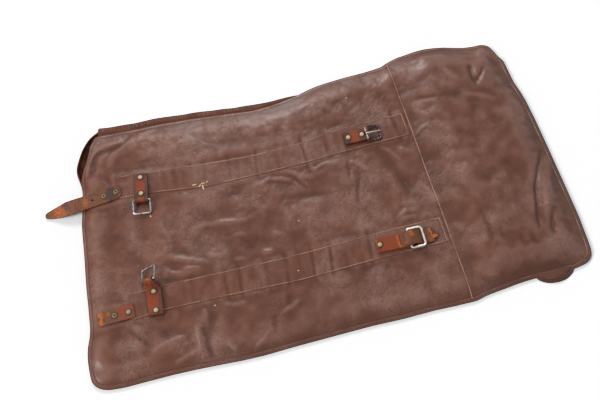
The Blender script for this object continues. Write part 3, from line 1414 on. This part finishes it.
def pocket_height(x, left, right, y):
    """Underside of a stretch's two pockets: it hangs to the floor between the seams."""
    pitch = (right - left) / 2
    place = ((x - left) / pitch) % 1.0
    seam = np.minimum(place, 1 - place) * pitch
    foot = y - POCKET_FOOT
    hung = np.clip(np.minimum(seam, foot) / 0.012, 0, 1)
    return 0.0003 + POCKET_SWELL * (1 - np.sin(hung * math.pi / 2)) + 0.0003 * (1 + swell(x, y, 0.02, 6.1))


def pocket_lines(low, high):
    """Paths of the sewing of a stretch's two pockets: three seams, the foot and the hem."""
    x = np.arange(low.x + 0.003, high.x - 0.003, PATH_STEP)
    y = np.arange(low.y + 0.003, high.y - 0.006, PATH_STEP)
    seams = [path_of(place, y) for place in (low.x + 0.0015, (low.x + high.x) / 2, high.x - 0.0015)]
    hem = high.y - POCKET_HEM - pocket_dip(x, low.x, high.x)
    return seams + [path_of(x, low.y + 0.002), path_of(x, hem)]


def build_tool_pockets():
    size = sizes()
    material = material_of("lining_leather", lining_leather)
    thread = material_of("thread_finish", thread_finish)
    for stretch in range(4):
        low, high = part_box(f"tool_pocket_{stretch + 1}")
        columns = fill_out([low.x, (low.x + high.x) / 2, high.x], POCKET_STEP)
        shares = fill_out([0.0, 0.06, 1.0], 0.02)
        x = np.repeat(columns[:, None], len(shares), axis=1)
        mouth = high.y - pocket_dip(x, low.x, high.x)
        y = mix(low.y, mouth, shares[None, :])
        under = pocket_height(x, low.x, high.x, y)
        hem = bump(mouth - y - POCKET_HEM, 0.0012) * HEM_PINCH
        points = np.stack([x, y, under + POCKET_THICKNESS - hem], axis=-1)
        below = np.stack([x, y, under + hem], axis=-1)
        piece = closed_piece(f"pocket_leather_{stretch + 1}", points, below, material)
        body = BODIES[stretch]
        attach(piece, body)
        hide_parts(f"tool_pocket_{stretch + 1}")
        sewing = Shape()
        lines = pocket_lines(low, high)
        pairs = np.concatenate([stitch_places(line, size.stitch_pitch * 1.15) for line in lines])
        add_stitches(sewing, pairs, lambda xs, ys: pocket_height(xs, low.x, high.x, ys), size.thread, -1)
        stitched = sewing.make(f"pocket_stitching_{stretch + 1}", thread)
        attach(stitched, body)


POUCH_FAR, POUCH_FOOT, POUCH_MOUTH, POUCH_DIP, POUCH_WALL = 0.3385, -0.150, 0.100, 0.006, 0.011
POUCH_RISE, POUCH_THICKNESS, POUCH_STEP = 0.0014, 0.0013, 0.004


def build_end_pouch():
    material = material_of("lining_leather", lining_leather)
    near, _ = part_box("end_pouch_near")
    left, right = near.x, POUCH_FAR
    knots = [left, left + 0.004, left + 0.012, FOLDS[4], right - 0.012, right - 0.004, right]
    columns, shares = fill_out(knots, POUCH_STEP), fill_out([0.0, 0.016, 0.05, 1.0], 0.016)
    x = np.repeat(columns[:, None], len(shares), axis=1)
    dip = POUCH_DIP * np.sin((x - left) / (right - left) * math.pi)
    y = mix(POUCH_FOOT, POUCH_MOUTH - dip, shares[None, :])
    wall = np.minimum(np.minimum(x - left, right - x), y - POUCH_FOOT)
    level = sheet_level(x, y) - POUCH_DROP
    under = mix(0.0004, level, 1 - np.sin(np.clip(wall / POUCH_WALL, 0, 1) * math.pi / 2))
    under = np.maximum(under + 0.0005 * (1 + swell(x, y, 0.03, 8.8)), 0.0003)
    points = np.stack([x, y, under + POUCH_RISE], axis=-1)
    below = points - grid_normals(points) * POUCH_THICKNESS
    piece = closed_piece("end_pouch", points, below, material)
    bend(piece, 4)
    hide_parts("end_pouch_near", "end_pouch_tip")
    build_pouch_corner()


def smooth_path(corners, count, rounds):
    """A smooth path through corners: each point's share of the way along it, and its place."""
    steps = np.concatenate([[0], np.cumsum(np.hypot(*np.diff(corners, axis=0).T))])
    along = np.linspace(0, 1, count)
    edge = np.stack([np.interp(along, steps / steps[-1], corners[:, i]) for i in (0, 1)], axis=1)
    for _ in range(rounds):
        edge[1:-1] = (edge[:-2] + 2 * edge[1:-1] + edge[2:]) / 4
    return along, edge


def edge_layer(name, points, floor, material, above, below):
    """A thin layer whose outer edge is closed down to a level under it."""
    normals = grid_normals(points)
    if normals[..., 2].mean() < 0:
        points = points[::-1]
        normals = grid_normals(points)
    shape = Shape()
    under = points.copy()
    under[..., 2] = floor
    start = add_sides(shape, points, under, normals, above, below)
    rim = np.arange(points.shape[0]) * points.shape[1]
    shape.strip(rim, rim + start)
    return shape.make(name, material, shaded=False)


CORNER_ROOT = -0.178  # where the corner's layers run together under the hide
# The layers of the pouch's lower corner: outline in mm, level of the under side, thickness
CORNER_LIPS = (
    (((284, -192), (288, -202), (294, -207.5), (302, -211.5), (315, -213.3), (329, -211.5), (340, -205),
      (346, -192)), 0.0004, 0.0024),
    (((288, -190), (293, -201), (301, -207.5), (313, -209), (326, -206.5), (337, -200), (342, -189)),
     0.003, 0.0016),
)


def build_pouch_corner():
    """The pouch's lower corner, whose layers push out past the long edge."""
    material = material_of("band_leather", band_leather)
    for index, (outline, low, thick) in enumerate(CORNER_LIPS):
        corners = np.array(outline, float) * MM
        along, edge = smooth_path(corners, 41, 4)
        middle = np.array([corners[:, 0].mean(), CORNER_ROOT])
        depth = np.array([0.0, 0.06, 0.14, 0.28, 0.5, 0.8])
        flat = edge[:, None, :] + (middle - edge)[:, None, :] * depth[None, :, None]
        lift = thick * np.array([0.35, 0.8, 1.0, 1.0, 0.95, 0.9])[None, :]
        wave = 0.0006 * np.sin(along * 15 + index)[:, None] * np.array([1, 0.8, 0.5, 0.2, 0, 0])[None, :]
        points = np.concatenate([flat, (low + lift + wave)[..., None]], axis=-1)[::-1]
        above, below = {"ridge": 0.1, "valley": 1.0 - index * 0.7}, {"ridge": 0.0, "valley": 1.2}
        piece = edge_layer(f"pouch_corner_{index + 1}", points, low, material, above, below)
        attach(piece, "end_tip")


# The curled rim across its width: distance in from its edge, height, and how worn it is
RIM_DEPTH = (0.0, 0.0003, 0.0008, 0.0014, 0.0020, 0.0034, 0.009, 0.02)
RIM_HEIGHT = (0.0014, 0.0030, 0.0038, 0.0036, 0.0022, 0.0008, 0.0006, 0.0006)
RIM_WORN = (1, 1, 1, 0.7, 0.1, 0, 0, 0.0)
RIM_SEEN = 0.0034


def build_curled_rim():
    """The inner layer that shows outside the curled corner of the outer leather."""
    material = material_of("dark_layers", dark_layers)
    along, edge = smooth_path(np.array(CURLED_RIM, float) * MM, 60, 6)
    run = np.gradient(edge, axis=0)
    inward = np.stack([-run[:, 1], run[:, 0]], axis=1)
    inward /= np.linalg.norm(inward, axis=1, keepdims=True)
    depth, high = np.array(RIM_DEPTH)[None, :], np.array(RIM_HEIGHT)[None, :]
    taper = np.sin(np.clip(along * 1.02, 0, 1) * math.pi) ** 0.35
    narrowed = 0.15 + 0.85 * ease(np.minimum(along, 1 - along) / 0.35)
    reach = np.minimum(depth, np.maximum(RIM_SEEN, depth * narrowed[:, None]))
    flat = edge[:, None, :] + inward[:, None, :] * reach[:, :, None]
    z = 0.0006 + high * (0.35 + 0.65 * taper[:, None])
    points = np.concatenate([flat, z[..., None]], axis=-1)
    worn = np.broadcast_to(np.array(RIM_WORN)[None, :], z.shape)
    piece = edge_layer("curled_rim", points, 0.0003, material, {"worn": worn}, {"worn": 0.5})
    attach(piece, "main_1")


# Strap fittings


def near_marks(places, marks):
    """How close each point is to marks: x, y, reach and half length across the roll, in mm."""
    found = np.zeros(len(places))
    for x, y, reach, half in marks:
        beside = np.maximum(np.abs(places[:, 1] - y * MM) - half * MM, 0)
        apart = np.hypot(places[:, 0] - x * MM, beside)
        found = np.maximum(found, 1 - ease(apart / (reach * MM)))
    return found


def rivet_rings(places, rivets):
    """1 in the soiled ring round each rivet."""
    found = np.zeros(len(places))
    for rivet in rivets:
        low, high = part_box(rivet)
        apart = np.hypot(places[:, 0] - (low.x + high.x) / 2, places[:, 1] - (low.y + high.y) / 2)
        found = np.maximum(found, bump(apart - (high.x - low.x) / 2 - 0.0006, 0.0010))
    return found


VOXEL, RELAX = 0.0005, (0.5, 4)
FINE, BROAD = 0.004, 0.013  # size of the fittings' unevenness
BOX_SIDES = ((0, 3, 2, 1), (4, 5, 6, 7), (0, 1, 5, 4), (1, 2, 6, 5), (2, 3, 7, 6), (3, 0, 4, 7))


def worn_leather(name, nodes, body, material, marks, rivets, bridge=()):
    """A rounded, slightly uneven leather piece in the place of cut leather nodes. The marks name
    its torn, red and soiled places."""
    verts, faces = [], []
    for node in nodes:
        mesh = NODES[node].data
        first = len(verts)
        verts += [tuple(v.co) for v in mesh.vertices]
        faces += [[index + first for index in polygon.vertices] for polygon in mesh.polygons]
    if bridge:
        first = len(verts)
        verts += bridge
        faces += [[index + first for index in side] for side in BOX_SIDES]
    mesh = bpy.data.meshes.new(name)
    mesh.from_pydata(verts, [], faces)
    piece = add_object(name, mesh)
    remesh = piece.modifiers.new("Rounding", "REMESH")
    remesh.mode, remesh.voxel_size, remesh.use_smooth_shade = "VOXEL", VOXEL, True
    relax = piece.modifiers.new("Relax", "SMOOTH")
    relax.factor, relax.iterations = RELAX
    view = bpy.context.evaluated_depsgraph_get()
    rounded = bpy.data.meshes.new_from_object(piece.evaluated_get(view))
    piece.modifiers.clear()
    piece.data = rounded
    rounded.name = name
    if not len(rounded.vertices):
        raise RuntimeError(f"{name} came out empty")
    count = len(rounded.vertices)
    places, normals = np.zeros(count * 3), np.zeros(count * 3)
    rounded.vertices.foreach_get("co", places)
    rounded.vertices.foreach_get("normal", normals)
    places, normals = places.reshape(-1, 3), normals.reshape(-1, 3)
    uneven = np.array([noise.fractal(Vector(p) / FINE, 1.0, 2.0, 3) for p in places])
    broad = np.array([noise.fractal(Vector(p) / BROAD, 1.0, 2.0, 2) for p in places])
    raw, bare = (near_marks(places, marks.get(key, ())) for key in ("torn", "orange"))
    shift = uneven * (0.00007 + 0.00022 * raw) + broad * 0.00012
    rounded.vertices.foreach_set("co", (places + normals * shift[:, None]).ravel())
    side = 1 - np.abs(normals[:, 2])
    soiled = np.maximum(near_marks(places, marks.get("soiled", ())), rivet_rings(places, rivets))
    values = {
        "worn": np.clip(side * 0.5 + 0.42 * raw + 0.6 * bare + marks.get("speckled", 0.0), 0, 1),
        "red": near_marks(places, marks.get("red", ())),
        "bare": near_marks(places, marks.get("bare", ())),
        "soiled": np.clip(soiled, 0, 1),
    }
    keep_rest(rounded)
    keep_values(rounded, values)
    rounded.materials.clear()
    rounded.materials.append(material)
    rounded.update()
    if isinstance(body, str):
        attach(piece, body)
    else:
        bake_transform(piece)
    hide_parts(*nodes)

# The billet bends at the hinge, where a small bridge joins its two parts: half size, underside and top
HINGE = (-0.308, 0.0681)
BRIDGE_HALF, BRIDGE_LOW, BRIDGE_HIGH = (0.0022, 0.0099), 0.0104, 0.0121

# Red, soiled, bare and torn places of each leather fitting, in mm: x, y, reach, half length across the roll.
# Speckled is how much of its orange flesh shows all over.
TABS = {
    "upper_ring_tab": ("main_1", ("upper_tab_rivet_1", "upper_tab_rivet_2"), {
        "red": ((-219, 72.5, 13, 4), (-221, 53, 9, 2)),
        "soiled": ((-219, 62, 5, 2), (-215, 94, 10, 2)),
        "torn": ((-213, 54, 4, 2),),
    }),
    "lower_ring_tab": ("main_1", ("lower_tab_rivet_1", "lower_tab_rivet_2"), {
        "red": ((-236, -100, 22, 10),),
        "torn": ((-233.7, -70, 10, 1),),
        "speckled": 0.26,
    }),
    "upper_buckle_tab": ("main_4", ("upper_buckle_rivet_1", "upper_buckle_rivet_2"), {
        "red": ((103.5, 73, 14, 5),),
        "soiled": ((86, 73, 6, 8),),
        "bare": ((121, 73, 1.7, 12),),
    }),
    "lower_buckle_tab": ("main_4", ("lower_buckle_rivet_1",), {
        "red": ((104, -103, 34, 14),),
        "torn": ((122, -111, 6, 1), (84, -96, 5, 1)),
        "orange": ((115, -104, 3, 8),),
        "speckled": 0.34,
    }),
}
STRAPS = {
    "strap_remnant": ("main_4", (), {
        "torn": ((136, -98, 7, 2), (163, -97, 6, 1), (167, -104, 6, 2), (172, -110, 8, 2), (160, -112, 5, 1)),
        "orange": ((168, -104, 9, 5), (134, -98, 4, 3)),
        "soiled": ((149, -111, 5, 1),),
        "speckled": 0.3,
    }),
    "lower_strap_stub": ("main_1", ("stub_rivet_1", "stub_rivet_2"), {
        "torn": ((-311, -108, 20, 6), (-296, -103, 8, 1)),
        "red": ((-270, -100, 26, 2),),
        "orange": ((-312, -108, 13, 8),),
        "soiled": ((-308, -106, 3, 0), (-302, -111, 3, 2)),
        "speckled": 0.22,
    }),
}


def build_strap_fittings():
    for pieces, leather in ((TABS, tab_leather), (STRAPS, strap_leather)):
        material = material_of(leather.__name__, leather)
        for node, (body, rivets, marks) in pieces.items():
            worn_leather(f"{node}_leather", [node], body, material, marks, rivets)
    x, y = HINGE
    half_x, half_y = BRIDGE_HALF
    corners = ((-half_x, -half_y), (half_x, -half_y), (half_x, half_y), (-half_x, half_y))
    bridge = [(x + dx, y + dy, z) for z in (BRIDGE_LOW, BRIDGE_HIGH) for dx, dy in corners]
    body = ("main_1", "billet_tail", (x + 0.005, y, BRIDGE_LOW), (x - 0.005, y, BRIDGE_LOW))
    marks = {
        "red": ((-372, 66, 26, 6),),
        "torn": ((-340, 66, 22, 4), (-300, 70, 8, 4)),
        "soiled": ((-262, 73, 16, 6), (-331, 74, 13, 2), (-345, 76, 8, 1)),
        "speckled": 0.3,
    }
    worn_leather(
        "billet", ["billet_base", "billet_tail"], body, material_of("strap_leather", strap_leather),
        marks, ("billet_rivet_1", "billet_rivet_2"), bridge,
    )


def build_metalwork():
    """Gives the rings, buckles and rivets their finishes."""
    for name, node in NODES.items():
        if node.hide_render:
            continue
        if "rivet" in name:
            finish = rivet_finish(name)
        elif name == "upper_buckle_frame":
            finish = material_of("blackened_steel", blackened_steel)
        elif name in ("lower_buckle_frame", "upper_buckle_tongue"):
            finish = material_of("bright_steel", bright_steel)
        else:
            finish = material_of("steel", steel)
        node.data.materials.clear()
        node.data.materials.append(finish)


# Stage


LIGHT_TARGET = (0.02, 0.0, 0.0)
KEY_PLACE, KEY_WIDTH = (-2.3, -0.3, 1.6), 1.2
SHEEN_PLACE, SHEEN_WIDTH = (0.15, 1.7, 1.25), 0.6
AMBIENT_TINT, WHITE = (1.0, 0.985, 0.97, 1.0), (1.0, 1.0, 1.0, 1.0)
SENSOR_WIDTH = 36.0
FLOOR_REACH, FLOOR_LEVEL = 4.0, -0.0002


def aim(thing, direction):
    """Turns a lamp or the camera to look along a direction."""
    thing.rotation_mode = "QUATERNION"
    thing.rotation_quaternion = direction.to_track_quat("-Z", "Y")


def add_light(name, power, width, place):
    lamp = bpy.data.lights.new(name, "AREA")
    lamp.shape, lamp.size, lamp.energy = "DISK", width, power
    light = add_object(name, lamp)
    light.location = place
    aim(light, Vector(LIGHT_TARGET) - Vector(place))


def add_camera(stage):
    lens = bpy.data.cameras.new("roll_camera")
    lens.lens, lens.sensor_width = stage.lens, SENSOR_WIDTH
    camera = add_object("roll_camera", lens)
    turn, height = stage.camera_turn, stage.camera_height
    back = Vector((-math.sin(turn) * math.cos(height), -math.cos(turn) * math.cos(height), math.sin(height)))
    camera.location = back * stage.camera_distance
    aim(camera, -back)
    bpy.context.scene.camera = camera


def add_world(strength):
    """A faint warm light from all round, and plain white where the camera sees past the floor."""
    scene = bpy.context.scene
    scene.world = bpy.data.worlds.new("studio")
    scene.world.use_nodes = True
    world = Nodes(scene.world.node_tree)
    ray = world.node("ShaderNodeLightPath").outputs
    seen = 0.0
    for kind in ("Is Camera Ray", "Is Glossy Ray", "Is Transmission Ray"):
        adding = {"operation": "ADD", "use_clamp": True}
        seen = world.node("ShaderNodeMath", adding, {0: seen, 1: ray[kind]}).outputs[0]
    ambient = world.node("ShaderNodeBackground", None, {"Color": AMBIENT_TINT, "Strength": strength})
    white = world.node("ShaderNodeBackground", None, {"Color": WHITE, "Strength": 1.0})
    both = world.node("ShaderNodeMixShader", None, {0: seen, 1: ambient.outputs[0], 2: white.outputs[0]})
    world.node("ShaderNodeOutputWorld", None, {"Surface": both.outputs[0]})


def floor_paper(tint):
    """Plain paper, clear from below."""
    material = bpy.data.materials.new("floor")
    material.use_nodes = True
    plain = Nodes(material.node_tree)
    look = {"Base Color": (*tint, 1.0), "Roughness": 0.9}
    paper = plain.node("ShaderNodeBsdfPrincipled", None, look)
    clear = plain.node("ShaderNodeBsdfTransparent")
    below = plain.node("ShaderNodeNewGeometry").outputs["Backfacing"]
    sides = plain.node("ShaderNodeMixShader", None, {0: below, 1: paper.outputs[0], 2: clear.outputs[0]})
    plain.node("ShaderNodeOutputMaterial", None, {"Surface": sides.outputs[0]})
    return material


def build_stage():
    stage = bpy.context.scene.roll_stage
    bpy.context.scene.view_settings.view_transform = "Standard"
    add_camera(stage)
    add_light("key_light", stage.key_power, KEY_WIDTH, KEY_PLACE)
    add_light("sheen_light", stage.sheen_power, SHEEN_WIDTH, SHEEN_PLACE)
    add_world(stage.ambient)
    mesh = bpy.data.meshes.new("floor")
    corners = [(x * FLOOR_REACH, y * FLOOR_REACH, 0) for x, y in ((-1, -1), (1, -1), (1, 1), (-1, 1))]
    mesh.from_pydata(corners, [], [(0, 1, 2, 3)])
    mesh.materials.append(floor_paper(stage.floor))
    floor = add_object("floor", mesh)
    floor.location.z = FLOOR_LEVEL
    floor.is_shadow_catcher = True


# Operators and panel


class ROLL_OT_outer_leather(bpy.types.Operator):
    """Builds the outer leather in spans that bend at the folds"""

    bl_idname = "roll.outer_leather"
    bl_label = "Outer leather"

    def execute(self, context):
        build_outer_leather()
        build_curled_rim()
        return {"FINISHED"}


class ROLL_OT_bands(bpy.types.Operator):
    """Builds the two long bands sewn along the roll"""

    bl_idname = "roll.bands"
    bl_label = "Bands"

    def execute(self, context):
        build_bands()
        return {"FINISHED"}


class ROLL_OT_stitching(bpy.types.Operator):
    """Sews the hem, the seam and the bands"""

    bl_idname = "roll.stitching"
    bl_label = "Stitching"

    def execute(self, context):
        build_stitching()
        build_loose_ends()
        return {"FINISHED"}


class ROLL_OT_inner_side(bpy.types.Operator):
    """Builds the linings and the facing strips"""

    bl_idname = "roll.inner_side"
    bl_label = "Linings and facings"

    def execute(self, context):
        build_linings()
        build_facings()
        return {"FINISHED"}


class ROLL_OT_pockets(bpy.types.Operator):
    """Builds the tool pockets and the end pouch"""

    bl_idname = "roll.pockets"
    bl_label = "Pockets and pouch"

    def execute(self, context):
        build_tool_pockets()
        build_end_pouch()
        return {"FINISHED"}


class ROLL_OT_straps(bpy.types.Operator):
    """Builds the tabs, the billet and the torn strap ends"""

    bl_idname = "roll.straps"
    bl_label = "Tabs and straps"

    def execute(self, context):
        build_strap_fittings()
        return {"FINISHED"}


class ROLL_OT_metalwork(bpy.types.Operator):
    """Finishes the rings, buckles and rivets"""

    bl_idname = "roll.metalwork"
    bl_label = "Metalwork"

    def execute(self, context):
        build_metalwork()
        return {"FINISHED"}


class ROLL_OT_stage(bpy.types.Operator):
    """Sets up the floor, the lights and the camera"""

    bl_idname = "roll.stage"
    bl_label = "Stage"

    def execute(self, context):
        build_stage()
        return {"FINISHED"}


STEPS = (
    ROLL_OT_outer_leather, ROLL_OT_bands, ROLL_OT_stitching, ROLL_OT_inner_side, ROLL_OT_pockets,
    ROLL_OT_straps, ROLL_OT_metalwork, ROLL_OT_stage,
)
SETTINGS = {
    "roll_sizes": SheetSizes,
    "roll_leathers": LeatherColours,
    "roll_metals": MetalColours,
    "roll_stage": StageSizes,
}


class ROLL_PT_panel(bpy.types.Panel):
    """Lists the steps that build the tool roll"""

    bl_idname = "ROLL_PT_panel"
    bl_label = "Tool roll"
    bl_space_type = "VIEW_3D"
    bl_region_type = "UI"
    bl_category = "Tool roll"

    def draw(self, context):
        for step in STEPS:
            self.layout.operator(step.bl_idname)
        for name in SETTINGS:
            box = self.layout.box()
            group = getattr(context.scene, name)
            for key in group.bl_rna.properties.keys():
                if key not in ("name", "rna_type"):
                    box.prop(group, key)


def register():
    for name, group in SETTINGS.items():
        bpy.utils.register_class(group)
        setattr(bpy.types.Scene, name, bpy.props.PointerProperty(type=group))
    for cls in (*STEPS, ROLL_PT_panel):
        bpy.utils.register_class(cls)


def unregister():
    for cls in reversed((*STEPS, ROLL_PT_panel)):
        bpy.utils.unregister_class(cls)
    for name, group in SETTINGS.items():
        delattr(bpy.types.Scene, name)
        bpy.utils.unregister_class(group)


def main():
    register()
    for step in STEPS:
        group, name = step.bl_idname.split(".")
        getattr(getattr(bpy.ops, group), name)()


if __name__ == "__main__":
    main()
